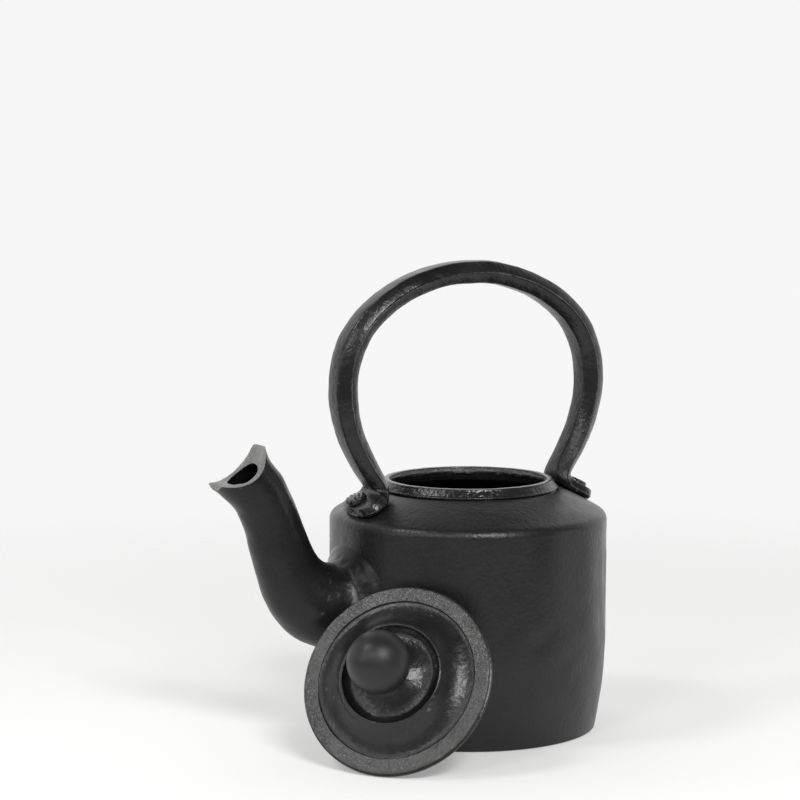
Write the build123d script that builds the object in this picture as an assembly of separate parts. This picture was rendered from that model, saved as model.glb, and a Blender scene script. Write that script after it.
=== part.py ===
from build123d import *
import math
import os

# A cast teapot of about one litre: body, pressed-on neck ring, spout, riveted bail handle and a
# loose lid with a ball knob. Millimetres. The pot's axis is Z, its flat base is on z = 0, the spout
# points to -X and the handle stands in the XZ plane. The lid leans against the pot, rim on the floor.

# ---- driving dimensions: body -------------------------------------------------------------------
BASE_R = 60.0                 # outer radius at the base
BODY_R = 65.0                 # largest outer radius
SHOULDER_EDGE_R = 62.5        # where the rounded top corner ends
SHOULDER_EDGE_Z = 102.0
LANDING_Z = 112.3             # flat seat of the neck ring
LANDING_R = 41.2
WALL = 3.3                    # cast wall
FLOOR = 4.0                   # cast floor
MOUTH_R = 38.2                # opening in the body under the neck ring
REGISTER_R = 39.5             # raised lip that centres the neck ring
REGISTER_H = 0.8

# ---- driving dimensions: neck ring --------------------------------------------------------------
RING_TOP_Z = 116.8
RING_TOP_R = 39.3
RING_FOOT_R = 42.0
RING_BORE_R = 36.9

# ---- driving dimensions: handle -----------------------------------------------------------------
PAD_T = 4.6                   # thickness of the two feet
PAD_HALF_W = 15.0             # half width of a foot across the handle
PAD_IN_X = 44.5               # inner end of a foot
PAD_OUT_R = 63.2              # outer end of a foot, measured from the pot's axis
RIVET_R = 56.3                # rivets' distance from the pot's axis, on the shoulder
RIVET_SHANK_R = 2.5
RIVET_HEAD_R = 4.7
RIVET_HEAD_H = 2.6
FIT = 0.05                    # radial clearance of a shank or register in its seat

# ---- driving dimensions: spout ------------------------------------------------------------------
LIP_CUT_R = 21.3              # concave cut across the spout's tip
LIP_CUT_X = -127.5
LIP_CUT_Z = 142.0
PEAK_Z = 138.2                # height of the lip's blunt peak
BEAK_X = -129.8               # reach of its blunt beak

# ---- driving dimensions: lid --------------------------------------------------------------------
LID_R = 42.9                  # edge of the top rim
LID_LIP_R = 43.8              # lower lip of the rim
LID_LIP_DROP = 2.9            # lowest corner of the lip below the rim's top face
RIM_IN_R = 36.6               # inner edge of the flat rim
SKIRT_R = 35.7                # locating skirt that drops into the neck
SKIRT_DROP = 11.2
CREST_R = 23.0                # raised ring around the knob
CREST_H = 7.6
PEDESTAL_H = 9.0              # seat of the knob above the rim's top face
PEDESTAL_R = 7.2
BALL_R = 14.0
BALL_H = 23.2                 # ball's centre above the rim's top face
SCREW_R = 2.5
LID_AXIS_RISE = 29.9          # degrees that the leaning lid's axis points up
LID_AZIMUTH = 221.1           # degrees about Z where the lid leans on the wall
LEAN_GAP = 0.3                # skirt to wall


def turned(*edges):
    """A solid turned about Z from a closed outline whose points are (radius, height)."""
    return revolve(Plane.XZ * make_face(list(edges)), Axis.Z)


def shoulder_z(radius, lift=0.0):
    """Height of the crowned shoulder at a radius, or of a surface lifted square off it."""
    run = SHOULDER_EDGE_R - RING_FOOT_R
    fall = LANDING_Z - SHOULDER_EDGE_Z
    share = (radius - RING_FOOT_R) / run
    crown = 1.8 * share * (1 - share)
    return LANDING_Z - fall * share + crown + lift / math.cos(math.atan2(fall, run))


def shoulder_curve(lift, inner_r, outer_r):
    """Edge along the shoulder from inner_r to outer_r, lifted off it."""
    mid_r = (inner_r + outer_r) / 2
    return ThreePointArc(
        (inner_r, shoulder_z(inner_r, lift)),
        (mid_r, shoulder_z(mid_r, lift)),
        (outer_r, shoulder_z(outer_r, lift)),
    )


# ---- kettle body --------------------------------------------------------------------------------
def body_solid():
    """Outer form of the pot, without its cavity."""
    groove_z = LANDING_Z - 0.6
    wall_top = (BODY_R - 0.2, 97.0)
    shoulder = shoulder_curve(0.0, RING_FOOT_R + 0.6, SHOULDER_EDGE_R)
    return turned(
        Line((0, 0), (BASE_R - 0.7, 0)),
        Line((BASE_R - 0.7, 0), (BASE_R, 0.7)),
        ThreePointArc((BASE_R, 0.7), (63.0, 24.6), (BODY_R - 0.1, 46.0)),
        ThreePointArc((BODY_R - 0.1, 46.0), (BODY_R, 72.0), wall_top),
        ThreePointArc(wall_top, (BODY_R - 0.7, 100.1), shoulder @ 1),
        shoulder,
        Polyline(
            shoulder @ 0,
            (RING_FOOT_R + 0.2, groove_z),
            (LANDING_R, groove_z),
            (LANDING_R, LANDING_Z),
            (REGISTER_R, LANDING_Z),
            (REGISTER_R, LANDING_Z + REGISTER_H),
            (0, LANDING_Z + REGISTER_H),
            (0, 0),
        ),
    )


def body_cavity():
    """Space inside the pot, up through the mouth."""
    floor_r = BASE_R - WALL
    side = (BODY_R - WALL - 0.1, 46.0)
    side_top = (BODY_R - WALL - 0.2, 96.0)
    under_shoulder = shoulder_curve(-WALL, MOUTH_R, SHOULDER_EDGE_R - 2.9)
    return turned(
        Line((0, FLOOR), (floor_r - 3, FLOOR)),
        ThreePointArc((floor_r - 3, FLOOR), (floor_r - 0.6, FLOOR + 1.2), (floor_r + 0.4, FLOOR + 4)),
        ThreePointArc((floor_r + 0.4, FLOOR + 4), (60.3, 26.0), side),
        Line(side, side_top),
        ThreePointArc(side_top, (BODY_R - WALL - 0.8, 98.6), under_shoulder @ 1),
        under_shoulder,
        Polyline(under_shoulder @ 0, (MOUTH_R, LANDING_Z + 5), (0, LANDING_Z + 5), (0, FLOOR)),
    )


# ---- neck ring ----------------------------------------------------------------------------------
def neck_ring():
    """Flared ring round the mouth, recessed underneath to sit over the body's register."""
    recess_z = LANDING_Z + REGISTER_H + FIT
    undercut_r = MOUTH_R + 0.3
    return turned(
        Polyline(
            (REGISTER_R + FIT, recess_z),
            (REGISTER_R + FIT, LANDING_Z),
            (LANDING_R - 0.1, LANDING_Z),
            (RING_FOOT_R - 0.2, LANDING_Z + 0.5),
            (RING_FOOT_R, LANDING_Z + 0.8),
            (RING_FOOT_R - 0.2, LANDING_Z + 1.1),
            (RING_FOOT_R - 0.6, LANDING_Z + 1.2),
            (RING_TOP_R + 0.2, RING_TOP_Z - 0.5),
        ),
        ThreePointArc(
            (RING_TOP_R + 0.2, RING_TOP_Z - 0.5),
            (RING_TOP_R, RING_TOP_Z - 0.15),
            (RING_TOP_R - 0.5, RING_TOP_Z),
        ),
        Polyline(
            (RING_TOP_R - 0.5, RING_TOP_Z),
            (RING_BORE_R + 0.3, RING_TOP_Z),
            (RING_BORE_R, RING_TOP_Z - 0.3),
            (RING_BORE_R, RING_TOP_Z - 2.2),
            (undercut_r, recess_z),
            (REGISTER_R + FIT, recess_z),
        ),
    )


# ---- spout --------------------------------------------------------------------------------------
# Stations of the spout from inside the wall to past the tip: centre x, centre z, lean of the
# section from vertical in degrees (0 faces straight out), in-plane half size, half width along Y.
SPOUT_STATIONS = [
    (-54.0, 61.6, 0, 24.6, 24.6),
    (-64.5, 61.8, 3, 22.6, 22.6),
    (-72.5, 62.8, 14, 20.6, 20.4),
    (-80.5, 65.4, 30, 19.2, 19.0),
    (-87.0, 70.6, 46, 17.3, 17.1),
    (-91.8, 77.4, 59, 15.4, 15.4),
    (-95.3, 85.2, 68, 14.2, 14.2),
    (-98.6, 94.0, 71, 13.4, 13.4),
    (-101.6, 103.2, 69, 12.9, 12.9),
    (-104.8, 111.0, 63, 12.8, 12.8),
    (-108.2, 117.4, 56, 13.0, 12.9),
    (-114.8, 124.6, 57, 13.9, 13.0),
    (-118.5, 129.8, 55, 15.3, 13.2),
    (-122.0, 135.5, 55, 17.0, 13.4),
]
BORE_WALL = 3.9               # casting wall round the bore along most of the spout
TIP_BORE = (7.7, 8.9)         # bore's half sizes at the lip: in-plane and along Y
TIP_STATIONS = 3              # stations that carry the lip's bore


def spout_section(x, z, lean, half_in_plane, half_width):
    """One elliptical section whose normal points out along the spout."""
    angle = math.radians(lean)
    normal = (-math.cos(angle), 0, math.sin(angle))
    plane = Plane(origin=(x, 0, z), x_dir=(0, 1, 0), z_dir=normal)
    return plane * Ellipse(half_width, half_in_plane)


def spout_outer():
    return loft([spout_section(*station) for station in SPOUT_STATIONS])


def spout_bore():
    sections = []
    last_plain = len(SPOUT_STATIONS) - TIP_STATIONS
    for index, (x, z, lean, half_in_plane, half_width) in enumerate(SPOUT_STATIONS):
        if index < last_plain:
            sizes = (half_in_plane - BORE_WALL, half_width - BORE_WALL)
        else:
            sizes = TIP_BORE
        sections.append(spout_section(x, z, lean, *sizes))
    return loft(sections)


def lip_cut():
    """Cylinder across the tip that leaves a beak below and a peak above, both cut blunt."""
    across = Pos(LIP_CUT_X, 0, LIP_CUT_Z) * Rot(90, 0, 0) * Cylinder(LIP_CUT_R, 60)
    above_peak = Pos(-105, 0, PEAK_Z + 20) * Rot(0, 30, 0) * Box(60, 60, 40)
    before_beak = Pos(BEAK_X - 20, 0, 120) * Rot(0, 12, 0) * Box(40, 60, 60)
    return across + above_peak + before_beak


# ---- handle -------------------------------------------------------------------------------------
# Half of the handle's centre line, foot to crown: x, z, thickness in the arch's plane, width of the
# flat inner and outer faces, width across the side ridges.
HANDLE_STATIONS = [
    (46.8, 107.5, 8.0, 10.0, 23.0),
    (47.6, 111.5, 8.2, 9.0, 22.0),
    (49.2, 116.5, 9.2, 8.4, 20.5),
    (51.8, 121.6, 9.8, 8.2, 19.5),
    (56.2, 129.0, 10.0, 8.6, 18.6),
    (60.8, 138.6, 10.1, 9.0, 18.0),
    (64.0, 149.5, 10.2, 9.4, 17.8),
    (65.3, 160.5, 10.3, 9.8, 17.8),
    (64.3, 171.5, 10.4, 10.0, 17.8),
    (60.6, 182.2, 10.4, 10.0, 17.8),
    (54.3, 191.4, 10.3, 9.8, 17.6),
    (46.1, 198.8, 10.2, 9.6, 17.4),
    (37.0, 204.5, 10.1, 9.4, 17.2),
    (27.8, 208.6, 10.0, 9.2, 17.0),
    (18.6, 211.3, 10.0, 9.2, 17.0),
    (9.3, 212.9, 10.0, 9.2, 17.0),
    (0.0, 213.3, 10.0, 9.2, 17.0),
]
FACET_CROWN = 0.35            # bulge of every face between its edges


def bar_section(x, z, tangent, thickness, flat, width):
    """Hexagonal bar section with crowned faces, square to the tangent."""
    plane = Plane(origin=(x, 0, z), x_dir=(0, 1, 0), z_dir=tangent)
    half_t = thickness / 2
    corners = [
        (width / 2, 0),
        (flat / 2, half_t),
        (-flat / 2, half_t),
        (-width / 2, 0),
        (-flat / 2, -half_t),
        (flat / 2, -half_t),
    ]
    edges = []
    for (ax, ay), (bx, by) in zip(corners, corners[1:] + corners[:1]):
        length = math.hypot(bx - ax, by - ay)
        bulge_x = (ax + bx) / 2 + FACET_CROWN * (by - ay) / length
        bulge_y = (ay + by) / 2 - FACET_CROWN * (bx - ax) / length
        edges.append(ThreePointArc((ax, ay), (bulge_x, bulge_y), (bx, by)))
    return plane * make_face(edges)


def handle_bar():
    mirrored = [(-x, z, t, f, w) for x, z, t, f, w in HANDLE_STATIONS[:-1]]
    stations = mirrored + HANDLE_STATIONS[::-1]
    sections = []
    for index, (x, z, thickness, flat, width) in enumerate(stations):
        before = stations[max(index - 1, 0)]
        after = stations[min(index + 1, len(stations) - 1)]
        tangent = (after[0] - before[0], 0, after[1] - before[1])
        sections.append(bar_section(x, z, tangent, thickness, flat, width))
    return loft(sections)


def foot_pad(side):
    """Rounded foot that follows the shoulder's cone, on the side of x given by the sign."""
    length = PAD_OUT_R + 1 - PAD_IN_X
    plan = RectangleRounded(length, 2 * PAD_HALF_W, 9.0)
    prism = extrude(Pos(side * (PAD_IN_X + length / 2), 0, 90) * plan, 40)
    inner_r = RING_FOOT_R + 0.8
    top = shoulder_curve(PAD_T, inner_r, PAD_OUT_R)
    bottom = shoulder_curve(0.0, inner_r, SHOULDER_EDGE_R)
    tip = (PAD_OUT_R, shoulder_z(SHOULDER_EDGE_R) - 0.1)
    band = turned(
        top,
        Polyline(top @ 1, tip, bottom @ 1),
        bottom,
        Line(bottom @ 0, top @ 0),
    )
    return band & prism


def rivet_frame(side):
    """Location on the shoulder with Z square to it, at the rivet on one side."""
    step = 0.5
    fall = shoulder_z(RIVET_R - step) - shoulder_z(RIVET_R + step)
    normal = Vector(side * fall, 0, 2 * step)
    origin = (side * RIVET_R, 0, shoulder_z(RIVET_R))
    return Plane(origin=origin, x_dir=(0, 1, 0), z_dir=normal).location


def rivet(side):
    """Button rivet: head on the foot, shank through foot and shoulder, upset tail inside."""
    seat = PAD_T + 0.05
    tail = -WALL - 0.15
    end = tail - 1.8
    crown = seat + RIVET_HEAD_H
    dome_r = 15.0
    facet_r = RIVET_HEAD_R - 1.0
    facet_z = crown - dome_r + math.sqrt(dome_r**2 - facet_r**2)
    halfway = (facet_r / 2, crown - dome_r + math.sqrt(dome_r**2 - facet_r**2 / 4))
    shape = turned(
        Polyline((0, end), (2.4, end), (3.5, end + 0.9), (3.6, tail), (RIVET_SHANK_R, tail)),
        Line((RIVET_SHANK_R, tail), (RIVET_SHANK_R, seat)),
        Line((RIVET_SHANK_R, seat), (RIVET_HEAD_R, seat)),
        Line((RIVET_HEAD_R, seat), (RIVET_HEAD_R, seat + 1.0)),
        Line((RIVET_HEAD_R, seat + 1.0), (facet_r, facet_z)),
        ThreePointArc((facet_r, facet_z), halfway, (0, crown)),
        Line((0, crown), (0, end)),
    )
    return rivet_frame(side) * shape


def rivet_hole(side):
    return rivet_frame(side) * Cylinder(RIVET_SHANK_R + FIT, 30)


# ---- lid, modelled about its own axis with the flat rim at z = 0 ------------------------------------
def lid_casting():
    crest_inner = (CREST_R - 0.5, CREST_H - 0.1)
    pedestal = (PEDESTAL_R, PEDESTAL_H)
    skirt_in = SKIRT_R - 2.9
    under_cove = (30.2, -4.8)
    under_crest = (20.6, 1.2)
    return turned(
        Polyline(
            (RIM_IN_R, 0),
            (LID_R - 0.5, 0),
            (LID_R, -0.4),
            (LID_R + 0.15, -1.35),
            (LID_R - 0.25, -1.6),
            (LID_R + 0.35, -1.85),
            (LID_LIP_R, -2.2),
            (LID_LIP_R, -LID_LIP_DROP),
            (LID_LIP_R - 0.4, -LID_LIP_DROP - 0.3),
            (SKIRT_R + 0.3, -LID_LIP_DROP - 0.3),
            (SKIRT_R, -SKIRT_DROP + 0.4),
            (SKIRT_R - 0.4, -SKIRT_DROP),
            (skirt_in + 0.4, -SKIRT_DROP),
            (skirt_in, -SKIRT_DROP + 0.4),
            (skirt_in, -4.4),
            under_cove,
        ),
        Spline(under_cove, (26.0, -3.0), (23.2, 0.2), under_crest, (17.0, 0.3)),
        Line((17.0, 0.3), (10.5, 0.8)),
        Line((10.5, 0.8), (SCREW_R + FIT, 0.8)),
        Line((SCREW_R + FIT, 0.8), (SCREW_R + FIT, PEDESTAL_H)),
        Line((SCREW_R + FIT, PEDESTAL_H), pedestal),
        Spline(pedestal, (8.6, 6.4), (11.4, 4.1), (15.2, 3.1), (19.2, 4.0), (21.8, 6.4), crest_inner),
        Line(crest_inner, (CREST_R, CREST_H)),
        Line((CREST_R, CREST_H), (CREST_R + 0.4, CREST_H - 0.2)),
        Spline(
            (CREST_R + 0.4, CREST_H - 0.2),
            (25.2, 3.9),
            (27.8, 0.6),
            (31.2, -1.3),
            (34.4, -1.4),
            (RIM_IN_R - 0.2, -0.7),
        ),
        Line((RIM_IN_R - 0.2, -0.7), (RIM_IN_R, 0)),
    )


def lid_knob():
    """Ball on a short neck, drilled from below for its screw."""
    neck_r = PEDESTAL_R - 0.7
    ball_start = BALL_H - math.sqrt(BALL_R**2 - neck_r**2)
    hole_r = SCREW_R + FIT
    hole_top = 20.0
    return turned(
        Line((hole_r, PEDESTAL_H), (neck_r, PEDESTAL_H)),
        Line((neck_r, PEDESTAL_H), (neck_r, ball_start)),
        ThreePointArc((neck_r, ball_start), (BALL_R, BALL_H), (0, BALL_H + BALL_R)),
        Polyline((0, BALL_H + BALL_R), (0, hole_top), (hole_r, hole_top), (hole_r, PEDESTAL_H)),
    )


def knob_screw():
    """Slotted pan-head screw driven up from under the lid."""
    head_top = 0.8
    head_low = head_top - 2.6
    shape = turned(
        Polyline((0, 19.0), (1.9, 19.0), (SCREW_R, 18.4), (SCREW_R, head_top), (4.6, head_top)),
        Polyline((4.6, head_top), (4.6, head_low + 0.9)),
        ThreePointArc((4.6, head_low + 0.9), (3.9, head_low + 0.25), (3.0, head_low)),
        Polyline((3.0, head_low), (0, head_low), (0, 19.0)),
    )
    slot = Pos(0, 0, head_low + 0.5) * Box(12, 1.2, 1.4)
    return shape - slot


def lean_location():
    """Where the leaning lid's own frame goes: lip on the floor, skirt just off the wall."""
    rise = math.radians(LID_AXIS_RISE)
    away = math.radians(LID_AZIMUTH)
    out_x, out_y = math.cos(away), math.sin(away)
    reach = BODY_R + LEAN_GAP + SKIRT_DROP * math.cos(rise) + SKIRT_R * math.sin(rise)
    height = LID_LIP_R * math.cos(rise) + LID_LIP_DROP * math.sin(rise)
    axis = (out_x * math.cos(rise), out_y * math.cos(rise), math.sin(rise))
    level = (-out_y, out_x, 0)
    return Plane(origin=(reach * out_x, reach * out_y, height), x_dir=level, z_dir=axis).location


# ---- assembly -----------------------------------------------------------------------------------
outer_form = body_solid()
cavity = body_cavity()
bore = spout_bore()
holes = [rivet_hole(side) for side in (-1, 1)]

kettle_body = outer_form - cavity - bore
spout = spout_outer() - bore - lip_cut() - outer_form
handle = handle_bar() + foot_pad(-1) + foot_pad(1) - outer_form
for hole in holes:
    kettle_body -= hole
    handle -= hole

lean = lean_location()
nodes = {
    "kettle_body": kettle_body,
    "neck_ring": neck_ring(),
    "spout": spout,
    "handle": handle,
    "handle_rivets": Compound([rivet(-1), rivet(1)]),
    "lid": lean * lid_casting(),
    "lid_knob": lean * lid_knob(),
    "knob_screw": lean * knob_screw(),
}

os.makedirs("parts", exist_ok=True)
for name, shape in nodes.items():
    export_step(shape, f"parts/{name}.step")
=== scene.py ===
import bpy
import bmesh
import math
import numpy as np
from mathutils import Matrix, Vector


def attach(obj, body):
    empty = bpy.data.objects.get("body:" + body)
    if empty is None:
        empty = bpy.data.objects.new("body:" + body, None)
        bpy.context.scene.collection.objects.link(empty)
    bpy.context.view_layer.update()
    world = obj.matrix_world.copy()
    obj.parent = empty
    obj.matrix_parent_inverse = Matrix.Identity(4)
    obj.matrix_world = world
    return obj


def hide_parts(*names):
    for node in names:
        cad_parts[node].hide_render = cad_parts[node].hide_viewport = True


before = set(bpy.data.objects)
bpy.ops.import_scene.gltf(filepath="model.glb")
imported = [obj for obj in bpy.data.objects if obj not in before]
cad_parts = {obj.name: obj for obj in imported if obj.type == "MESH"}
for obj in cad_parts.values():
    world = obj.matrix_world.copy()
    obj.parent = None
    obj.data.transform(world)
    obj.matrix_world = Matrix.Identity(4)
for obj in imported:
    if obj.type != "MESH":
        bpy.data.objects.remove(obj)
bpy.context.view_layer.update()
MM = 0.001


# ---- noise, curves and meshes (millimetres until a mesh is made) -------------------------------------
def lattice(i, j, k, seed):
    """Pseudo-random value from -1 to 1 at whole-number points."""
    mask = np.int64(0xFFFFFFFF)
    n = (i * 73856093) ^ (j * 19349663) ^ (k * 83492791) ^ (seed * 668265263)
    n = n & mask
    n = ((n ^ (n >> 15)) * 2246822519) & mask
    n = ((n ^ (n >> 13)) * 3266489917) & mask
    n = n ^ (n >> 16)
    return (n & 0xFFFFFF) / float(0x7FFFFF) - 1.0


def soft_noise(points, scale, seed):
    """Smooth noise from -1 to 1 whose lumps are about scale across."""
    q = points.reshape(-1, 3) / scale
    cell = np.floor(q).astype(np.int64)
    f = q - cell
    f = f * f * f * (f * (f * 6 - 15) + 10)
    total = np.zeros(len(q))
    for dx in (0, 1):
        for dy in (0, 1):
            for dz in (0, 1):
                weight = (f[:, 0] if dx else 1 - f[:, 0])
                weight = weight * (f[:, 1] if dy else 1 - f[:, 1])
                weight = weight * (f[:, 2] if dz else 1 - f[:, 2])
                total += weight * lattice(cell[:, 0] + dx, cell[:, 1] + dy, cell[:, 2] + dz, seed)
    return total.reshape(points.shape[:-1])


def rough_noise(points, scale, seed, octaves=3):
    """Soft noise with finer layers added, each half as wide and half as strong."""
    total = np.zeros(points.shape[:-1])
    for o in range(octaves):
        total += soft_noise(points, scale / 2**o, seed + 17 * o) / 2**o
    return total


def smooth_step(x, low, high):
    """0 below low, 1 above high, and an easy curve between."""
    t = np.clip((x - low) / (high - low), 0, 1)
    return t * t * (3 - 2 * t)


def arc(a, m, b, steps):
    """Points on the circle arc from a through m to b, without b."""
    (ax, ay), (bx, by), (cx, cy) = a, m, b
    d = 2 * (ax * (by - cy) + bx * (cy - ay) + cx * (ay - by))
    ux = ((ax**2 + ay**2) * (by - cy) + (bx**2 + by**2) * (cy - ay) + (cx**2 + cy**2) * (ay - by)) / d
    uy = ((ax**2 + ay**2) * (cx - bx) + (bx**2 + by**2) * (ax - cx) + (cx**2 + cy**2) * (bx - ax)) / d
    r = math.hypot(ax - ux, ay - uy)
    t0 = math.atan2(ay - uy, ax - ux)

    def turn(p, q):
        """Signed angle from p to q about the circle's centre."""
        change = math.atan2(q[1] - uy, q[0] - ux) - math.atan2(p[1] - uy, p[0] - ux)
        return (change + math.pi) % (2 * math.pi) - math.pi

    sweep = turn(a, m) + turn(m, b)
    return [(ux + r * math.cos(t0 + sweep * i / steps), uy + r * math.sin(t0 + sweep * i / steps))
            for i in range(steps)]


def line(a, b, steps):
    """Points on the straight line from a to b, without b."""
    return [(a[0] + (b[0] - a[0]) * i / steps, a[1] + (b[1] - a[1]) * i / steps) for i in range(steps)]


def spline(keys, samples):
    """Smooth curve through rows of numbers; samples are places along it, 0 to len(keys) - 1."""
    k = np.asarray(keys, float)
    pad = np.vstack([2 * k[0] - k[1], k, 2 * k[-1] - k[-2]])
    s = np.asarray(samples, float)
    i = np.clip(np.floor(s).astype(int), 0, len(k) - 2)
    t = (s - i)[:, None]
    p0, p1, p2, p3 = pad[i], pad[i + 1], pad[i + 2], pad[i + 3]
    return 0.5 * (2 * p1 + (p2 - p0) * t + (2 * p0 - 5 * p1 + 4 * p2 - p3) * t**2
                  + (3 * p1 - p0 - 3 * p2 + p3) * t**3)


def round_path(keys, steps_each):
    """A soft curve through (radius, height) points, without the last."""
    n = (len(keys) - 1) * steps_each
    out = spline(keys, np.arange(n) / steps_each)
    return [tuple(p) for p in out]


def lathe(profile, turns):
    """Grid of points of a profile turned about Z: rows follow the profile."""
    p = np.asarray(profile, float)
    a = np.arange(turns) * 2 * math.pi / turns
    grid = np.empty((len(p), turns, 3))
    grid[:, :, 0] = p[:, 0:1] * np.cos(a)
    grid[:, :, 1] = p[:, 0:1] * np.sin(a)
    grid[:, :, 2] = p[:, 1:2]
    return grid


def normals(grid):
    """Unit normals of a grid whose columns close on themselves."""
    down = np.gradient(grid, axis=0)
    across = np.roll(grid, -1, axis=1) - np.roll(grid, 1, axis=1)
    n = np.cross(across, down)
    length = np.linalg.norm(n, axis=2, keepdims=True)
    return n / np.maximum(length, 1e-9)


def pushed(grid, amount):
    """The grid moved out along its normals."""
    return grid + normals(grid) * amount[..., None]


def skin(grid, keep=None, wrap_rows=False):
    """Quads over a grid whose columns close on themselves."""
    rows, cols = grid.shape[:2]
    index = np.arange(rows * cols).reshape(rows, cols)
    last = rows if wrap_rows else rows - 1
    a = index[:last]
    b = np.roll(index, -1, axis=0)[:last]
    quads = np.stack([a, np.roll(a, -1, axis=1), np.roll(b, -1, axis=1), b], axis=2)
    if keep is not None:
        quads = quads[keep[:last]]
    return grid.reshape(-1, 3), quads.reshape(-1, 4)


def make(name, parts, body, nodes, material):
    """One mesh object from (points, quads) parts, in place of its CAD nodes."""
    points, faces, start = [], [], 0
    for p, q in parts:
        points.append(p)
        faces.append(q + start)
        start += len(p)
    mesh = bpy.data.meshes.new(name)
    mesh.from_pydata((np.vstack(points) * MM).tolist(), [], np.vstack(faces).tolist())
    bm = bmesh.new()
    bm.from_mesh(mesh)
    bmesh.ops.remove_doubles(bm, verts=bm.verts, dist=2e-6)
    bmesh.ops.dissolve_degenerate(bm, edges=bm.edges, dist=1e-7)
    bmesh.ops.recalc_face_normals(bm, faces=bm.faces)
    bm.to_mesh(mesh)
    bm.free()
    mesh.polygons.foreach_set("use_smooth", [True] * len(mesh.polygons))
    obj = bpy.data.objects.new(name, mesh)
    bpy.context.scene.collection.objects.link(obj)
    obj.data.materials.append(material)
    if nodes:
        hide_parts(*nodes)
    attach(obj, body)
    return obj


# ---- materials ---------------------------------------------------------------------------------------
def paint(name, dark, light, rough, peel, grain, pits=0.0, seed=0.0, wear=0.0, sheen_spots=0.0):
    """Black paint over a casting: mottled colour and gloss, orange peel, grain, pits and worn edges."""
    material = bpy.data.materials.new(name)
    material.use_nodes = True
    nodes, links = material.node_tree.nodes, material.node_tree.links
    bsdf = nodes["Principled BSDF"]
    coord = nodes.new("ShaderNodeTexCoord")
    move = nodes.new("ShaderNodeMapping")
    move.inputs["Location"].default_value = (seed, seed * 0.7, seed * 1.3)
    links.new(coord.outputs["Object"], move.inputs["Vector"])

    def noise(scale, detail=3.0, roughness=0.55):
        texture = nodes.new("ShaderNodeTexNoise")
        texture.inputs["Scale"].default_value = scale
        texture.inputs["Detail"].default_value = detail
        texture.inputs["Roughness"].default_value = roughness
        links.new(move.outputs["Vector"], texture.inputs["Vector"])
        return texture.outputs["Fac"]

    def ramp(source, low, high, to_low, to_high):
        node = nodes.new("ShaderNodeMapRange")
        node.inputs["From Min"].default_value = low
        node.inputs["From Max"].default_value = high
        node.inputs["To Min"].default_value = to_low
        node.inputs["To Max"].default_value = to_high
        links.new(source, node.inputs["Value"])
        return node.outputs["Result"]

    def maths(kind, a, b):
        node = nodes.new("ShaderNodeMath")
        node.operation = kind
        for i, term in enumerate((a, b)):
            if hasattr(term, "links"):
                links.new(term, node.inputs[i])
            else:
                node.inputs[i].default_value = term
        return node.outputs[0]

    blotch = ramp(noise(45, 5, 0.6), 0.35, 0.68, 0.0, 1.0)
    fine = ramp(noise(900, 3, 0.6), 0.42, 0.66, 0.0, 1.0)
    tone = maths("ADD", maths("MULTIPLY", blotch, 0.55), maths("MULTIPLY", fine, 0.45))
    colour = nodes.new("ShaderNodeMix")
    colour.data_type = "RGBA"
    colour.inputs["A"].default_value = (*dark, 1)
    colour.inputs["B"].default_value = (*light, 1)
    links.new(tone, colour.inputs["Factor"])
    final = colour.outputs["Result"]
    if wear:
        geo = nodes.new("ShaderNodeNewGeometry")
        edge = ramp(geo.outputs["Pointiness"], 0.515, 0.60, 0.0, 1.0)
        broken = ramp(noise(420, 4, 0.7), 0.40, 0.62, 0.0, wear)
        mixed = nodes.new("ShaderNodeMix")
        mixed.data_type = "RGBA"
        mixed.inputs["B"].default_value = (0.22, 0.215, 0.205, 1)
        links.new(final, mixed.inputs["A"])
        links.new(maths("MULTIPLY", edge, broken), mixed.inputs["Factor"])
        final = mixed.outputs["Result"]
    links.new(final, bsdf.inputs["Base Color"])
    gloss = ramp(noise(70, 4, 0.6), 0.3, 0.7, rough - 0.05, rough + 0.06)
    spots = ramp(noise(520, 2, 0.5), 0.62, 0.78, 0.0, -sheen_spots)
    links.new(maths("ADD", gloss, spots), bsdf.inputs["Roughness"])
    bsdf.inputs["Specular IOR Level"].default_value = 0.5

    height = maths("MULTIPLY", noise(520, 2.0, 0.5), peel)
    height = maths("ADD", height, maths("MULTIPLY", noise(2600, 2.0, 0.6), grain))
    height = maths("ADD", height, maths("MULTIPLY", noise(130, 3.0, 0.5), peel * 1.3))
    if pits:
        cells = nodes.new("ShaderNodeTexVoronoi")
        cells.inputs["Scale"].default_value = 210
        links.new(move.outputs["Vector"], cells.inputs["Vector"])
        hole = ramp(cells.outputs["Distance"], 0.05, 0.22, -pits, 0.0)
        gate = ramp(noise(90, 2, 0.5), 0.5, 0.56, 0.0, 1.0)
        height = maths("ADD", height, maths("MULTIPLY", hole, gate))
    bump = nodes.new("ShaderNodeBump")
    bump.inputs["Strength"].default_value = 1.0
    bump.inputs["Distance"].default_value = 0.001
    links.new(height, bump.inputs["Height"])
    links.new(bump.outputs["Normal"], bsdf.inputs["Normal"])
    return material


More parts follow.
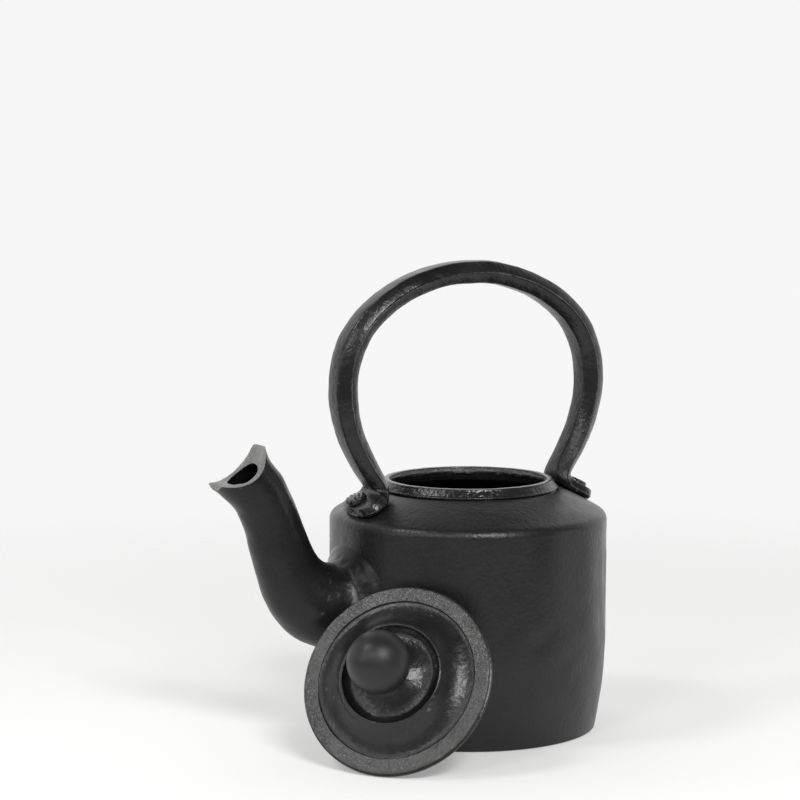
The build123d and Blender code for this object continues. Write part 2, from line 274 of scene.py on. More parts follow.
# After the two colours: roughness, orange peel, grain, pits, seed, edge wear and glossier spots.
BLACK = (0.0055, 0.0055, 0.0057)
SOFT_BLACK = (0.0135, 0.0132, 0.0130)
body_paint = paint("body_paint", BLACK, SOFT_BLACK, 0.36, 0.14, 0.030, 0.05, 0.0, 0.20, 0.08)
ring_paint = paint("ring_paint", BLACK, SOFT_BLACK, 0.24, 0.26, 0.040, 0.12, 2.0, 0.5, 0.06)
spout_paint = paint("spout_paint", BLACK, SOFT_BLACK, 0.33, 0.09, 0.012, 0.05, 3.0, 0.2, 0.05)
handle_paint = paint("handle_paint", BLACK, SOFT_BLACK, 0.27, 0.15, 0.020, 0.05, 4.0, 0.5, 0.06)
rivet_paint = paint("rivet_paint", BLACK, SOFT_BLACK, 0.22, 0.30, 0.040, 0.10, 5.0, 0.8, 0.05)
lid_paint = paint("lid_paint", BLACK, SOFT_BLACK, 0.31, 0.13, 0.026, 0.08, 6.0, 0.35, 0.05)
rim_paint = paint("rim_paint", (0.022, 0.022, 0.022), (0.090, 0.089, 0.087),
                  0.29, 0.46, 0.06, 0.25, 7.0, 0.5, 0.08)
knob_paint = paint("knob_paint", BLACK, SOFT_BLACK, 0.45, 0.035, 0.006, 0.0, 8.0, 0.0, 0.02)
cut_metal = paint("cut_metal", (0.09, 0.089, 0.087), (0.30, 0.296, 0.29),
                  0.42, 0.45, 0.10, 0.25, 9.0, 0.3, 0.05)
screw_metal = paint("screw_metal", (0.05, 0.05, 0.05), (0.11, 0.11, 0.11),
                    0.35, 0.08, 0.02, 0.0, 10.0, 0.3, 0.05)
# Lighter grey for the neck ring's inner lip and flare: painted light, standing in for the lit band where the
# upright lip catches light.
painted_lit_lip = paint("painted_lit_lip", (0.06, 0.06, 0.06), (0.24, 0.238, 0.235),
                  0.40, 0.40, 0.08, 0.2, 12.0, 0.3, 0.05)
# Nearly black, rough, dull finish for the faces inside the pot and the spout's bore: painted shade, since
# these faces only lie in shadow.
painted_shade_inside = paint("painted_shade_inside", (0.0018, 0.0018, 0.0018), (0.004, 0.0038, 0.0036),
                     0.62, 0.25, 0.05, 0.1, 11.0)
for finish, specular in ((spout_paint, 0.30), (body_paint, 0.43), (handle_paint, 0.44), (painted_shade_inside, 0.12)):
    finish.node_tree.nodes["Principled BSDF"].inputs["Specular IOR Level"].default_value = specular

# ---- kettle body ---------------------------------------------------------------------------------------
BODY_R = 65.0
RIM_R, RIM_Z = 62.5, 102.0
TOP_R, TOP_Z = 42.0, 112.3
# Dents in the side: azimuth in degrees, height, half width, half height, depth, tilt in radians.
DENTS = [
    (-38, 78, 7, 16, 0.75, 0), (-36, 40, 6, 14, 0.45, 0), (-48, 62, 5, 22, 0.30, 0.2),
    (-88, 50, 12, 5, 0.32, 0.5), (-74, 40, 10, 4.5, 0.30, 0.5), (-96, 54, 14, 4, -0.18, 0.45),
    (150, 60, 8, 18, 0.5, 0), (70, 45, 12, 9, 0.4, 0), (20, 66, 7, 14, 0.45, 0),
]


def shoulder_z(r):
    """Height of the shoulder's outer face at a radius."""
    share = (r - TOP_R) / (RIM_R - TOP_R)
    return TOP_Z - (TOP_Z - RIM_Z) * share + 1.8 * share * (1 - share)


def wall_radius(z):
    """Outer radius of the body's side at a height."""
    z = np.asarray(z, float)
    low = 60.0 + 4.9 * (1 - ((46 - np.clip(z, 0.7, 46)) / 45.3) ** 1.9)
    high = 64.9 + 0.1 * np.sin(np.clip((z - 46) / 51, 0, 1) * math.pi)
    return np.where(z < 46, low, high)


outer = line((0, 0), (58.0, 0), 30) + line((58.0, 0), (59.4, 0.02), 3)
outer += arc((59.4, 0.02), (59.85, 0.22), (60.02, 0.8), 5)
outer += [(float(wall_radius(z)), float(z)) for z in np.arange(0.9, 97.0, 1.0)]
outer += arc((64.9, 97.0), (64.3, 100.1), (RIM_R, RIM_Z), 12)
outer += [(r, shoulder_z(r)) for r in np.arange(RIM_R - 0.05, 43.0, -0.8)]
outer += [(42.7, shoulder_z(42.7)), (42.45, shoulder_z(42.5) - 0.25), (42.2, 111.6), (41.6, 111.55),
          (41.2, 111.7), (41.2, 112.28), (39.6, 112.3), (39.5, 113.05), (38.4, 113.05), (38.2, 112.6)]
inner = line((38.2, 112.0), (38.2, shoulder_z(38.2) - 3.9), 4)
inner += [(r, shoulder_z(r) - 3.7) for r in np.arange(38.4, 59.5, 1.2)]
inner += arc((59.6, 100.0), (61.0, 98.6), (61.5, 96.0), 8)
inner += [(float(wall_radius(z)) - 3.5, float(z)) for z in np.arange(95.5, 8.0, -1.5)]
inner += arc((57.4, 8.0), (56.0, 5.2), (53.0, 4.0), 6) + line((53.0, 4.0), (0, 4.0), 24) + [(0, 4.0)]
TURNS = 384
body_grid = lathe(outer + inner, TURNS)
on_outside = np.zeros(len(body_grid))
on_outside[: len(outer)] = 1


def side_offset(points):
    """How far the casting's side stands off its nominal form: slow waves, ripple and shallow dents."""
    offset = rough_noise(points, 22.0, 3, 2) * 0.20 + rough_noise(points, 5.0, 11, 2) * 0.03
    height = points[..., 2]
    away = np.degrees(np.arctan2(points[..., 1], points[..., 0]))
    for azimuth, level, wide, tall, depth, tilt in DENTS:
        u = np.radians((away - azimuth + 180) % 360 - 180) * BODY_R
        v = height - level
        turned_u = u * math.cos(tilt) + v * math.sin(tilt)
        turned_v = v * math.cos(tilt) - u * math.sin(tilt)
        offset = offset - depth * np.exp(-((turned_u / wide) ** 2) - (turned_v / tall) ** 2)
    on_wall = smooth_step(height, 1.5, 12) * (1 - 0.75 * smooth_step(height, 90, 100))
    return offset * (0.12 + 0.88 * on_wall)


wavy = side_offset(body_grid)
near_seat = (body_grid[:, :, 0] ** 2 + body_grid[:, :, 1] ** 2 < 42.8**2) & (body_grid[:, :, 2] > 100)
flat_base = body_grid[:, :, 2] < 0.9
# the inner face's normals point inwards, so the minus sign lets it follow the outer face, half as far
amount = wavy * on_outside[:, None] - wavy * 0.5 * (1 - on_outside[:, None])
body_grid = pushed(body_grid, np.where(near_seat | flat_base, 0.0, amount))

# ---- spout ---------------------------------------------------------------------------------------------
# Along the spout: x and z of its middle, lean in degrees, radius upwards and radius sideways.
STATIONS = [
    (-54.0, 61.6, 0, 24.6, 24.6), (-64.5, 61.8, 3, 22.6, 22.6), (-72.5, 62.8, 14, 20.6, 20.4),
    (-80.5, 65.4, 30, 19.2, 19.0), (-87.0, 70.6, 46, 17.3, 17.1), (-91.8, 77.4, 59, 15.4, 15.4),
    (-95.3, 85.2, 68, 14.2, 14.2), (-98.6, 94.0, 71, 13.4, 13.4), (-101.6, 103.2, 69, 12.9, 12.9),
    (-104.8, 111.0, 63, 12.8, 12.8), (-108.2, 117.4, 56, 13.0, 12.9), (-114.8, 124.6, 57, 13.9, 13.0),
    (-118.5, 129.8, 55, 15.6, 13.8), (-122.0, 135.5, 55, 17.2, 14.4),
]
LAST = len(STATIONS) - 1
RINGS_EACH = 40
# The lip is cut by a level cylinder, and its upper and lower ends are blunted at these stations.
CUT_X, CUT_Z, CUT_R = -125.1, 139.2, 17.6
PEAK_STOP, BEAK_STOP = 11.90, 11.50
BLUNT_BLEND = 6.0
# The fillet spreads from the middle of the root, and the hole through the wall is a little smaller.
ROOT_Z = 61.8
HOLE_Z, HOLE_R = 61.7, 18.2


def spout_grid(shrink, tip_sizes, rows, turns):
    """Rings of the spout from inside the pot's wall to the lip's cut."""
    keys = np.array(STATIONS, float)
    keys[:, 3:] -= shrink
    if tip_sizes:
        keys[-3:, 3] = tip_sizes[0]
        keys[-3:, 4] = tip_sizes[1]
    s = np.linspace(0, LAST, RINGS_EACH * LAST + 1)
    rings = spline(keys, s)
    a = np.arange(turns) * 2 * math.pi / turns
    lean = np.radians(rings[:, 2])
    up_x, up_z = np.sin(lean), np.cos(lean)
    full = np.empty((len(s), turns, 3))
    full[:, :, 0] = rings[:, 0:1] + (rings[:, 3] * up_x)[:, None] * np.sin(a)
    full[:, :, 1] = rings[:, 4:5] * np.cos(a)
    full[:, :, 2] = rings[:, 1:2] + (rings[:, 3] * up_z)[:, None] * np.sin(a)
    inside_cut = np.hypot(full[:, :, 0] - CUT_X, full[:, :, 2] - CUT_Z) < CUT_R
    grid = np.empty((rows, turns, 3))
    for c in range(turns):
        hits = np.nonzero(inside_cut[:, c])[0]
        end = hits[0] if len(hits) else len(s) - 1
        if len(hits) and end > 0:
            d0 = math.hypot(full[end - 1, c, 0] - CUT_X, full[end - 1, c, 2] - CUT_Z) - CUT_R
            d1 = math.hypot(full[end, c, 0] - CUT_X, full[end, c, 2] - CUT_Z) - CUT_R
            stop = end - 1 + d0 / (d0 - d1)
        else:
            stop = float(end)
        tip = math.sin(a[c])
        blunt = PEAK_STOP + 2.0 * (1 - tip) if tip > 0 else BEAK_STOP + 3.5 * (1 + tip)
        blunt = RINGS_EACH * blunt
        # the nearer of the cut and the blunt end, with a soft change from one to the other
        gap = (blunt - stop) / BLUNT_BLEND
        stop = blunt - BLUNT_BLEND * (gap + math.log1p(math.exp(-gap))) if gap > -30 else blunt
        place = np.linspace(0, stop, rows)
        i = np.minimum(place.astype(int), len(s) - 2)
        f = (place - i)[:, None]
        grid[:, c] = full[i, c] * (1 - f) + full[i + 1, c] * f
    return grid


def flared(grid, fillet, seed):
    """The root's broad fillet: near the wall a ring spreads over it, unevenly as a hand-dressed joint."""
    across = np.hypot(grid[:, :, 0], grid[:, :, 1])
    reach = across - wall_radius(grid[:, :, 2])
    flat = grid.copy()
    flat[:, :, 0] = 0
    size = fillet * (1 + 0.14 * soft_noise(flat, 12.0, seed))
    depth = np.clip((size - reach) / size, 0, 1)
    spread = size * (1 - np.sqrt(np.maximum(1 - depth**2, 0)))
    out_y, out_z = grid[:, :, 1], grid[:, :, 2] - ROOT_Z
    length = np.maximum(np.hypot(out_y, out_z), 1e-6)
    near = (grid[:, :, 0] > -90) & (grid[:, :, 2] < 100)
    grid[:, :, 1] += np.where(near, spread * out_y / length, 0)
    grid[:, :, 2] += np.where(near, spread * out_z / length, 0)
    # the last rings lie on the wall as it really is, and sink just under it
    wall = wall_radius(grid[:, :, 2]) + side_offset(grid)
    target_x = -np.sqrt(np.maximum(wall**2 - grid[:, :, 1] ** 2, 1.0))
    lie = smooth_step(depth, 0.90, 1.0)
    tuck = 0.14 * lie
    settled = np.maximum(grid[:, :, 0], target_x - 0.6 * (1 - lie)) * lie + grid[:, :, 0] * (1 - lie)
    grid[:, :, 0] = np.where(near, settled + tuck * lie, grid[:, :, 0])
    return grid


SPOUT_TURNS = 160
outside = spout_grid(0.0, None, 320, SPOUT_TURNS)
bore = spout_grid(3.9, (7.7, 8.9), 220, SPOUT_TURNS)
outside = flared(outside, 7.5, 40)
lump = rough_noise(outside, 14.0, 51, 2) * 0.22 + rough_noise(outside, 4.0, 57, 2) * 0.05
from_axis = np.hypot(outside[:, :, 0], outside[:, :, 1])
root_share = (1 - smooth_step(from_axis, 70, 80)) * smooth_step(from_axis, 65.6, 68)
lump = lump * smooth_step(from_axis, 65.2, 67) + root_share * rough_noise(outside, 6.0, 61, 3) * 0.30
fade = np.linspace(0, 1, len(outside))[:, None]
outside = pushed(outside, lump * (1 - smooth_step(fade, 0.985, 1.0)) * -1)
bore = pushed(bore, rough_noise(bore, 5.0, 71, 3) * 0.22)
across_lip = np.linspace(0, 1, 9)
share = across_lip[:, None, None]
lip = outside[-1][None] * (1 - share) + bore[-1][None] * share
off_x, off_z = lip[:, :, 0] - CUT_X, lip[:, :, 2] - CUT_Z
off = np.hypot(off_x, off_z)
crown = 0.35 * np.sin(across_lip * math.pi)[:, None] + 0.14 * rough_noise(lip, 2.5, 81, 3)
face_r = CUT_R + (off[:1] - CUT_R) * (1 - share[:, :, 0]) ** 2.5 - crown
lip[:, :, 0] = CUT_X + off_x / off * face_r
lip[:, :, 2] = CUT_Z + off_z / off * face_r

from_hole = np.hypot(body_grid[:, :, 1], body_grid[:, :, 2] - HOLE_Z)
through = (body_grid[:, :, 0] < 0) & (from_hole < HOLE_R)
body = make("kettle_body_cast", [skin(body_grid, ~through)], "pot", ["kettle_body"], body_paint)
# The faces inside the mouth and the pot get the nearly black finish: painted shade.
body.data.materials.append(painted_shade_inside)
for poly in body.data.polygons:
    c = poly.center / MM
    r = math.hypot(c.x, c.y)
    in_mouth = r < 39.3
    in_pot = r < wall_radius(c.z) - 2.2 and c.z < shoulder_z(r) - 1.8
    if c.z > 2 and (in_mouth or in_pot):
        poly.material_index = 1
make("spout_cast", [skin(outside)], "pot", ["spout"], spout_paint)
# The spout's bore gets the same nearly black finish: painted shade.
make("spout_bore", [skin(bore)], "pot", [], painted_shade_inside)
make("spout_lip_cut", [skin(lip)], "pot", [], cut_metal)

# ---- neck ring -----------------------------------------------------------------------------------------
ring = [(39.55, 113.12), (39.55, 112.32), (41.0, 112.32)]
ring += arc((41.4, 112.36), (42.0, 112.85), (41.75, 113.35), 8)
ring += [(41.55, 113.45), (41.4, 113.6)] + line((41.3, 113.75), (39.75, 116.05), 8)
ring += arc((39.65, 116.2), (39.35, 116.68), (38.85, 116.82), 6) + line((38.7, 116.82), (37.5, 116.82), 4)
ring += arc((37.4, 116.82), (37.05, 116.7), (36.9, 116.4), 4) + line((36.9, 116.3), (36.9, 114.7), 5)
ring += line((36.95, 114.55), (38.35, 113.2), 5) + [(38.5, 113.12), (39.0, 113.12)]
ring_grid = lathe(ring, 360)
edge_wobble = rough_noise(ring_grid, 3.0, 91, 3)
inside = ring_grid[:, :, 0] ** 2 + ring_grid[:, :, 1] ** 2 < 38.6**2
ring_amount = rough_noise(ring_grid, 9.0, 93, 2) * 0.05 + edge_wobble * 0.05
low_inside = inside & (ring_grid[:, :, 2] < 115.3)
ring_amount = np.where(low_inside, np.abs(edge_wobble) * 0.35, ring_amount)
ring_grid = pushed(ring_grid, ring_amount)
jagged = ring_grid[:, :, 2] + 0.35 * edge_wobble * (ring_grid[:, :, 2] > 113.3)
ring_grid[:, :, 2] = np.where(low_inside, jagged, ring_grid[:, :, 2])
ring_skin = skin(ring_grid, wrap_rows=True)
neck = make("neck_ring_cast", [ring_skin], "pot", ["neck_ring"], ring_paint)
# The ring's inner lip and flare take the lighter grey: painted light.
neck.data.materials.append(painted_lit_lip)
for poly in neck.data.polygons:
    c = poly.center / MM
    if math.hypot(c.x, c.y) < 38.4 and c.z < 116.4:
        poly.material_index = 1

# ---- handle: one strap from foot to foot ------------------------------------------------------------------
# Half of the strap, outer end of a foot to crown: x, z of its middle, thickness, width of the outer
# face, of the inner face, width across the ridges, and the ridges' offset towards the outer face.
STRAP = [
    (61.9, 105.0, 3.7, 8.0, 9.0, 10.0, -1.0), (61.2, 105.4, 4.2, 16.5, 18.0, 19.0, -1.0),
    (59.6, 106.3, 4.5, 21.5, 24.0, 25.2, -1.0), (57.0, 107.7, 4.6, 24.6, 27.0, 28.4, -1.0),
    (54.0, 109.3, 4.6, 24.4, 27.0, 28.4, -1.0), (51.5, 110.6, 4.8, 22.4, 25.0, 27.0, -0.9),
    (49.8, 111.9, 5.4, 19.8, 21.5, 25.0, -0.8), (48.7, 113.6, 6.3, 16.8, 16.4, 23.0, -0.5),
    (48.5, 115.6, 7.2, 13.4, 12.4, 21.2, -0.2), (49.2, 117.8, 8.1, 10.6, 9.8, 20.0, -0.1),
    (50.9, 120.6, 9.0, 9.2, 8.6, 19.2, 0.0), (53.3, 124.3, 9.6, 8.6, 8.4, 18.6, 0.0),
    (57.2, 131.0, 10.0, 8.8, 8.6, 18.2, 0.0), (61.2, 139.6, 10.1, 9.2, 9.0, 18.0, 0.0),
    (64.1, 150.0, 10.2, 9.6, 9.4, 17.8, 0.0), (65.3, 160.5, 10.3, 9.9, 9.8, 17.8, 0.0),
    (64.3, 171.5, 10.4, 10.0, 10.0, 17.8, 0.0), (60.6, 182.2, 10.4, 10.0, 10.0, 17.8, 0.0),
    (54.3, 191.4, 10.3, 9.8, 9.8, 17.6, 0.0), (46.1, 198.8, 10.2, 9.6, 9.6, 17.4, 0.0),
    (37.0, 204.5, 10.1, 9.4, 9.4, 17.2, 0.0), (27.8, 208.6, 10.0, 9.2, 9.2, 17.0, 0.0),
    (18.6, 211.3, 10.0, 9.2, 9.2, 17.0, 0.0), (9.3, 212.9, 10.0, 9.2, 9.2, 17.0, 0.0),
    (0.0, 213.3, 10.0, 9.2, 9.2, 17.0, 0.0),
]
half = np.array(STRAP, float)
other = half[-2::-1].copy()
other[:, 0] *= -1
strap = np.vstack([half, other])
samples = np.linspace(0, len(strap) - 1, 900)
along = spline(strap, samples)
tangent = np.gradient(along[:, :2], axis=0)
tangent /= np.linalg.norm(tangent, axis=1, keepdims=True)
outward = np.stack([tangent[:, 1], -tangent[:, 0]], axis=1)


def strap_section(thick, top, bottom, wide, lift):
    """(across, outward) points of one section: two flats, four facets and a thin flash on each ridge."""
    h = thick / 2
    corners = [(top / 2, h), (wide / 2, lift), (bottom / 2, -h),
               (-bottom / 2, -h), (-wide / 2, lift), (-top / 2, h)]
    points = []
    for i in range(6):
        (ax, ay), (bx, by) = corners[i - 1], corners[i]
        length = math.hypot(bx - ax, by - ay) + 1e-9
        nx, ny = -(by - ay) / length, (bx - ax) / length
        for t in (0.04, 0.12, 0.25, 0.4, 0.5, 0.6, 0.75, 0.88, 0.96):
            bulge = 0.30 * 4 * t * (1 - t) * min(1, length / 6)
            points.append((ax + (bx - ax) * t + nx * bulge, ay + (by - ay) * t + ny * bulge))
        if i in (1, 4):
            side = 1 if bx > 0 else -1
            half_flash = 0.22 * side
            points += [(bx - side * 0.02, by + half_flash), (bx + side * 0.34, by),
                       (bx - side * 0.02, by - half_flash)]
    return points


sections = np.array([strap_section(*row[2:]) for row in along])
handle_grid = np.empty((len(along), sections.shape[1], 3))
handle_grid[:, :, 0] = along[:, 0:1] + outward[:, 0:1] * sections[:, :, 1]
handle_grid[:, :, 1] = sections[:, :, 0]
handle_grid[:, :, 2] = along[:, 1:2] + outward[:, 1:2] * sections[:, :, 1]
foot_share = smooth_step(-along[:, 0], 47, 52) * (1 - smooth_step(along[:, 1], 110, 120))
handle_grid[:, :, 1] -= 2.0 * foot_share[:, None]
bar_noise = rough_noise(handle_grid, 12.0, 101, 2) * 0.24 + rough_noise(handle_grid, 3.2, 107, 2) * 0.06
handle_grid = pushed(handle_grid, bar_noise)
ends = []
for row in (0, -1):
    middle = handle_grid[row].mean(axis=0)
    ring_points = handle_grid[row]
    rings = [ring_points * (1 - t) + middle * t for t in (0.0, 0.25, 0.6, 0.999)]
    push = np.array([outward[row][1], 0, -outward[row][0]]) * (-1 if row == 0 else 1)
    caps = np.stack([r + push * d for r, d in zip(rings, (0, 0.55, 0.8, 0.85))])
    ends.append(skin(caps))
make("handle_strap", [skin(handle_grid), *ends], "pot", ["handle"], handle_paint)

# ---- rivets --------------------------------------------------------------------------------------------
RIVET_X = 56.3
slope = math.atan2(TOP_Z - RIM_Z, RIM_R - TOP_R)
rivet_parts = []
for side in (-1, 1):
    profile = [(0, -5.3), (2.2, -5.3), (2.5, -5.2)] + line((2.6, -5.15), (3.5, -4.35), 3)
    profile += [(3.6, -4.2), (3.6, -3.5), (2.5, -3.4), (2.5, 4.5), (4.5, 4.75), (4.95, 4.9)]
    profile += line((5.1, 5.1), (5.05, 6.1), 4) + arc((5.0, 6.3), (4.6, 6.95), (3.8, 7.2), 5)
    profile += line((3.7, 7.22), (0, 7.5), 9) + [(0, 7.5)]
    rivet_grid = lathe(profile, 96)
    r = np.hypot(rivet_grid[:, :, 0], rivet_grid[:, :, 1])
    top = (rivet_grid[:, :, 2] > 6.7) & (r < 4.9)
    across = rivet_grid[:, :, 0] * math.cos(0.5) + rivet_grid[:, :, 1] * math.sin(0.5)
    ridge = 0.24 * np.cos(across * 2 * math.pi / 1.9)
    rivet_grid[:, :, 2] += np.where(top, ridge * smooth_step(5.0 - r, 0, 0.8), 0)
    turn_angle = np.arctan2(rivet_grid[:, :, 1], rivet_grid[:, :, 0])
    nick = 0.22 * np.maximum(np.cos(turn_angle * 9 + side), 0) ** 2 * (rivet_grid[:, :, 2] > 4.9) * (r > 3.8)
    hammered = rough_noise(rivet_grid + side * 31, 1.8, 121, 3) * 0.14 * (rivet_grid[:, :, 2] > 4.7)
    rivet_grid = pushed(rivet_grid, hammered - nick)
    x, y, z = rivet_grid[:, :, 0], rivet_grid[:, :, 1], rivet_grid[:, :, 2]
    placed = np.empty_like(rivet_grid)
    placed[:, :, 0] = side * (RIVET_X + x * math.cos(slope) + z * math.sin(slope))
    placed[:, :, 1] = y
    placed[:, :, 2] = shoulder_z(RIVET_X) - x * math.sin(slope) + z * math.cos(slope)
    rivet_parts.append(skin(placed))
make("handle_rivet_heads", rivet_parts, "pot", ["handle_rivets"], rivet_paint)

# ---- lid -----------------------------------------------------------------------------------------------
RISE, AZIMUTH = math.radians(29.9), math.radians(221.1)
LID_R, RIM_DEPTH = 43.8, 2.9
SKIRT_R, SKIRT_DEPTH = 35.7, 11.2
WALL_GAP = 0.3
out = np.array([math.cos(AZIMUTH), math.sin(AZIMUTH), 0])
lid_axis = out * math.cos(RISE) + np.array([0, 0, math.sin(RISE)])
level = np.array([-out[1], out[0], 0])
lid_up = np.cross(lid_axis, level)
reach = BODY_R + WALL_GAP + SKIRT_DEPTH * math.cos(RISE) + SKIRT_R * math.sin(RISE)
lid_origin = out * reach + np.array([0, 0, LID_R * math.cos(RISE) + RIM_DEPTH * math.sin(RISE)])


def leaned(grid):
    """From the lid's own frame, rim face at z = 0, to where it leans."""
    return lid_origin + grid[..., 0:1] * level + grid[..., 1:2] * lid_up + grid[..., 2:3] * lid_axis


under = [(35.9, -3.2), (35.7, -3.6)] + line((35.7, -4.0), (35.7, -10.6), 6)
under += [(35.6, -11.0), (35.2, -11.2), (33.3, -11.2), (32.9, -11.0), (32.8, -10.6)]
under += line((32.8, -10.0), (32.8, -5.0), 5)
under += round_path([(32.8, -4.6), (30.2, -4.7), (26.6, -3.9), (24.0, -0.6), (20.6, 1.1),
                     (17.0, 0.3), (10.5, 0.8)], 7)
under += line((10.5, 0.8), (0, 0.8), 8) + [(0, 0.8)]
rim_edge = [(36.6, 0.02), (36.9, 0.05)] + line((37.2, 0.05), (42.2, 0.0), 12)
rim_edge += [(42.5, -0.06), (42.75, -0.22), (42.9, -0.5), (43.0, -1.0), (43.0, -1.35), (42.8, -1.55),
             (42.75, -1.7), (42.95, -1.85), (43.45, -1.95), (43.72, -2.1), (43.8, -2.4), (43.8, -2.75),
             (43.65, -3.05), (43.3, -3.2), (42.8, -3.22)]
rim_edge += line((42.4, -3.2), (36.2, -3.2), 6)
top_side = [(0, 8.8), (6.6, 8.9), (7.0, 8.95)]
top_side += round_path([(7.2, 8.9), (8.0, 8.5), (9.4, 7.7), (11.4, 6.7), (13.8, 5.7), (16.3, 4.9),
                        (18.7, 4.5), (20.5, 5.1), (21.6, 6.1), (22.2, 7.2)], 7)
top_side += arc((22.3, 7.42), (22.7, 7.68), (23.2, 7.55), 6)
top_side += round_path([(23.3, 7.5), (24.2, 6.6), (25.4, 5.0), (27.2, 3.1), (29.4, 1.5), (31.8, 0.35),
                        (34.2, -0.4), (35.9, -0.6)], 8)
top_side += [(36.05, -0.58), (36.2, -0.45), (36.35, -0.15), (36.5, 0.0)]
lid_grid = lathe(top_side + rim_edge + under, 360)
lid_noise = rough_noise(lid_grid, 8.0, 131, 2) * 0.10 + rough_noise(lid_grid, 2.4, 137, 2) * 0.035
radius = np.hypot(lid_grid[:, :, 0], lid_grid[:, :, 1])
on_rim = (radius > 36.5) & (lid_grid[:, :, 2] > -0.5)
lid_noise = lid_noise + np.where(on_rim, rough_noise(lid_grid, 1.6, 141, 3) * 0.07, 0)
lid_noise = np.where(radius > 43.0, np.minimum(lid_noise, 0) * 0.5, lid_noise)
lid_grid = pushed(lid_grid, -lid_noise)
lid_grid = leaned(lid_grid)
lid = make("lid_cast", [skin(lid_grid)], "lid", ["lid"], lid_paint)
lid.data.materials.append(rim_paint)

neck_r = 6.5
ball_r, ball_z = 14.0, 23.2
start = ball_z - math.sqrt(ball_r**2 - neck_r**2)
knob_profile = [(0, 9.0), (6.3, 9.0), (6.5, 9.15)] + line((6.5, 9.4), (6.5, start - 0.4), 3)
a0 = math.asin((start - ball_z) / ball_r)
for i in range(61):
    a = a0 + (math.pi / 2 - a0) * i / 60
    knob_profile.append((max(ball_r * math.cos(a), 0.0), ball_z + ball_r * math.sin(a)))
knob_grid = lathe(knob_profile, 144)
knob_grid = pushed(knob_grid, rough_noise(knob_grid, 9.0, 151, 2) * 0.05)
make("lid_knob_ball", [skin(leaned(knob_grid))], "lid", ["lid_knob"], knob_paint)

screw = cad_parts["knob_screw"]
screw.data.materials.clear()
screw.data.materials.append(screw_metal)

# ---- the rim's own finish --------------------------------------------------------------------------------
axis_v, origin_v = Vector(lid_axis), Vector(lid_origin * MM)
for poly in lid.data.polygons:
    away_v = poly.center - origin_v
    h = away_v.dot(axis_v)
    r = (away_v - axis_v * h).length / MM
    if 36.55 < r < 43.2 and -0.6 < h / MM < 0.6:
        poly.material_index = 1

# ---- studio ----------------------------------------------------------------------------------------------
scene = bpy.context.scene
CAMERA_TURN, CAMERA_TILT = math.radians(-27.5), math.radians(83.54)
right = Vector((math.cos(CAMERA_TURN), math.sin(CAMERA_TURN), 0))
ahead = Vector((-right.y, right.x, 0))


def studio_light(name, angle, elevation, distance, width, height, radiance):
    """Soft rectangular light; angle is clockwise seen from above, from the camera's side of the pot."""
    a, e = math.radians(angle), math.radians(elevation)
    direction = (-ahead * math.cos(a) + right * math.sin(a)) * math.cos(e) + Vector((0, 0, math.sin(e)))
    data = bpy.data.lights.new(name, "AREA")
    data.shape = "RECTANGLE"
    data.size = width
    data.size_y = height
    data.energy = radiance * math.pi * width * height
    obj = bpy.data.objects.new(name, data)
    obj.location = direction * distance + Vector((0, 0, 0.08))
    obj.rotation_mode = "QUATERNION"
    obj.rotation_quaternion = (-direction).to_track_quat("-Z", "Y")
    scene.collection.objects.link(obj)


studio_light("front_high", 18, 38, 1.6, 0.50, 0.42, 22.0)
studio_light("high_left", -66, 51, 1.6, 0.38, 0.34, 12.0)
studio_light("near_left", -27, 31, 1.7, 0.40, 0.40, 7.0)
studio_light("front_left", -57, 20, 1.7, 0.36, 0.60, 4.0)
studio_light("low_left", -92, 14, 1.7, 0.50, 0.50, 1.2)
studio_light("side_right", 88, 4, 1.6, 0.26, 0.70, 2.4)


def eased(tree, source, low, high, to_low, to_high):
    """A Map Range node with an easy curve, fed from a socket."""
    node = tree.nodes.new("ShaderNodeMapRange")
    node.interpolation_type = "SMOOTHSTEP"
    for name, value in (("From Min", low), ("From Max", high), ("To Min", to_low), ("To Max", to_high)):
        node.inputs[name].default_value = value
    tree.links.new(source, node.inputs["Value"])
    return node.outputs["Result"]


# The backdrop is bright behind the pot and dim on the camera's side; the camera itself sees it even.
world = bpy.data.worlds.new("studio")
scene.world = world
world.use_nodes = True
tree = world.node_tree
background = tree.nodes["Background"]
direction = tree.nodes.new("ShaderNodeTexCoord")
facing = tree.nodes.new("ShaderNodeVectorMath")
facing.operation = "DOT_PRODUCT"
facing.inputs[1].default_value = ahead
tree.links.new(direction.outputs["Generated"], facing.inputs[0])
split = tree.nodes.new("ShaderNodeSeparateXYZ")
tree.links.new(direction.outputs["Generated"], split.inputs[0])
level_mix = tree.nodes.new("ShaderNodeMath")
level_mix.operation = "MULTIPLY"
tree.links.new(eased(tree, facing.outputs["Value"], 0.05, 0.75, 0.24, 1.15), level_mix.inputs[0])
tree.links.new(eased(tree, split.outputs["Z"], 0.70, 0.92, 1.0, 0.30), level_mix.inputs[1])
seen = tree.nodes.new("ShaderNodeLightPath")
pick = tree.nodes.new("ShaderNodeMix")
pick.data_type = "FLOAT"
pick.inputs["B"].default_value = 0.93
tree.links.new(seen.outputs["Is Camera Ray"], pick.inputs["Factor"])
tree.links.new(level_mix.outputs[0], pick.inputs["A"])
background.inputs["Color"].default_value = (1.0, 0.998, 0.998, 1)
tree.links.new(pick.outputs["Result"], background.inputs["Strength"])

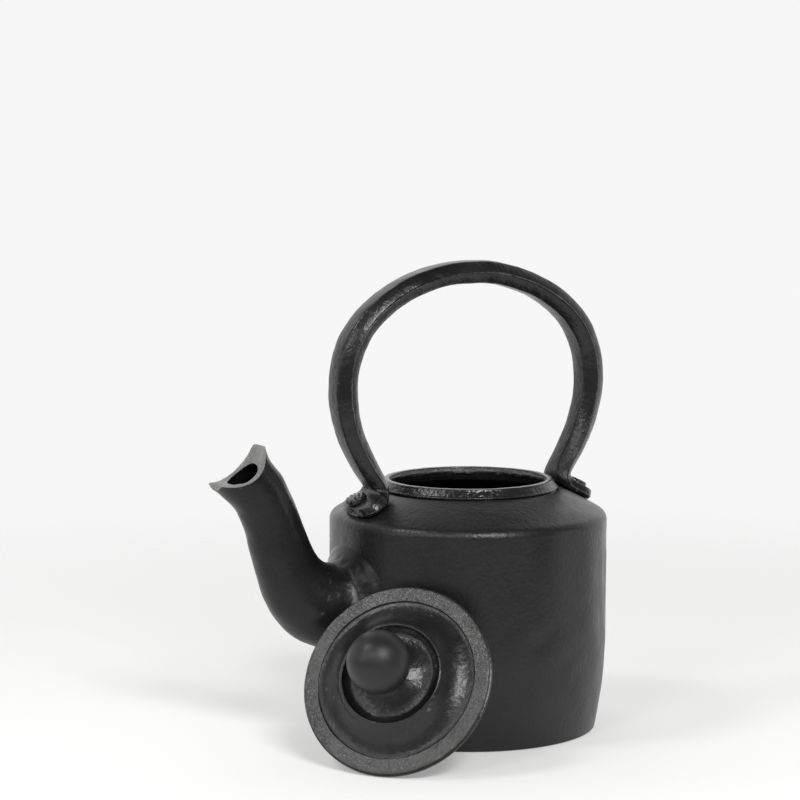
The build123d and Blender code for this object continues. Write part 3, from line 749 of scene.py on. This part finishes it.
FLOOR_RINGS, SPOKES = 40, 96
points, faces = [(0, 0, 0)], [(0, 1 + j, 1 + (j + 1) % SPOKES) for j in range(SPOKES)]
for i in range(1, FLOOR_RINGS + 1):
    r = 4.0 * (i / FLOOR_RINGS) ** 1.6
    angles = [2 * math.pi * j / SPOKES for j in range(SPOKES)]
    points += [(r * math.cos(angle), r * math.sin(angle), 0) for angle in angles]
for i in range(FLOOR_RINGS - 1):
    for j in range(SPOKES):
        a, b = 1 + i * SPOKES + j, 1 + i * SPOKES + (j + 1) % SPOKES
        faces.append((a, a + SPOKES, b + SPOKES, b))
floor_mesh = bpy.data.meshes.new("studio_floor")
floor_mesh.from_pydata(points, [], faces)
floor = bpy.data.objects.new("studio_floor", floor_mesh)
floor.location = (0, 0, -0.0002)
scene.collection.objects.link(floor)
floor_white = bpy.data.materials.new("studio_floor")
floor_white.use_nodes = True
tree = floor_white.node_tree
sheet = tree.nodes["Principled BSDF"]
sheet.inputs["Base Color"].default_value = (0.75, 0.747, 0.743, 1)
sheet.inputs["Roughness"].default_value = 0.9
sheet.inputs["Specular IOR Level"].default_value = 0.1
sheet.inputs["Emission Color"].default_value = (1.0, 0.996, 0.99, 1)
sheet.inputs["Emission Strength"].default_value = 0.26
place = tree.nodes.new("ShaderNodeTexCoord")
distance = tree.nodes.new("ShaderNodeVectorMath")
distance.operation = "LENGTH"
tree.links.new(place.outputs["Object"], distance.inputs[0])
# the floor fades into the backdrop away from the pot, so no far edge is seen
tree.links.new(eased(tree, distance.outputs["Value"], 0.20, 0.75, 1.0, 0.0), sheet.inputs["Alpha"])
floor.data.materials.append(floor_white)

camera_data = bpy.data.cameras.new("camera")
camera_data.lens = 123.6
camera_data.sensor_width = 36.0
camera_data.clip_start = 0.05
camera_data.clip_end = 30.0
camera = bpy.data.objects.new("camera", camera_data)
camera.location = (-0.6167, -1.1156, 0.2976)
camera.rotation_euler = (CAMERA_TILT, 0, CAMERA_TURN)
scene.collection.objects.link(camera)
scene.camera = camera
scene.view_settings.view_transform = "Standard"
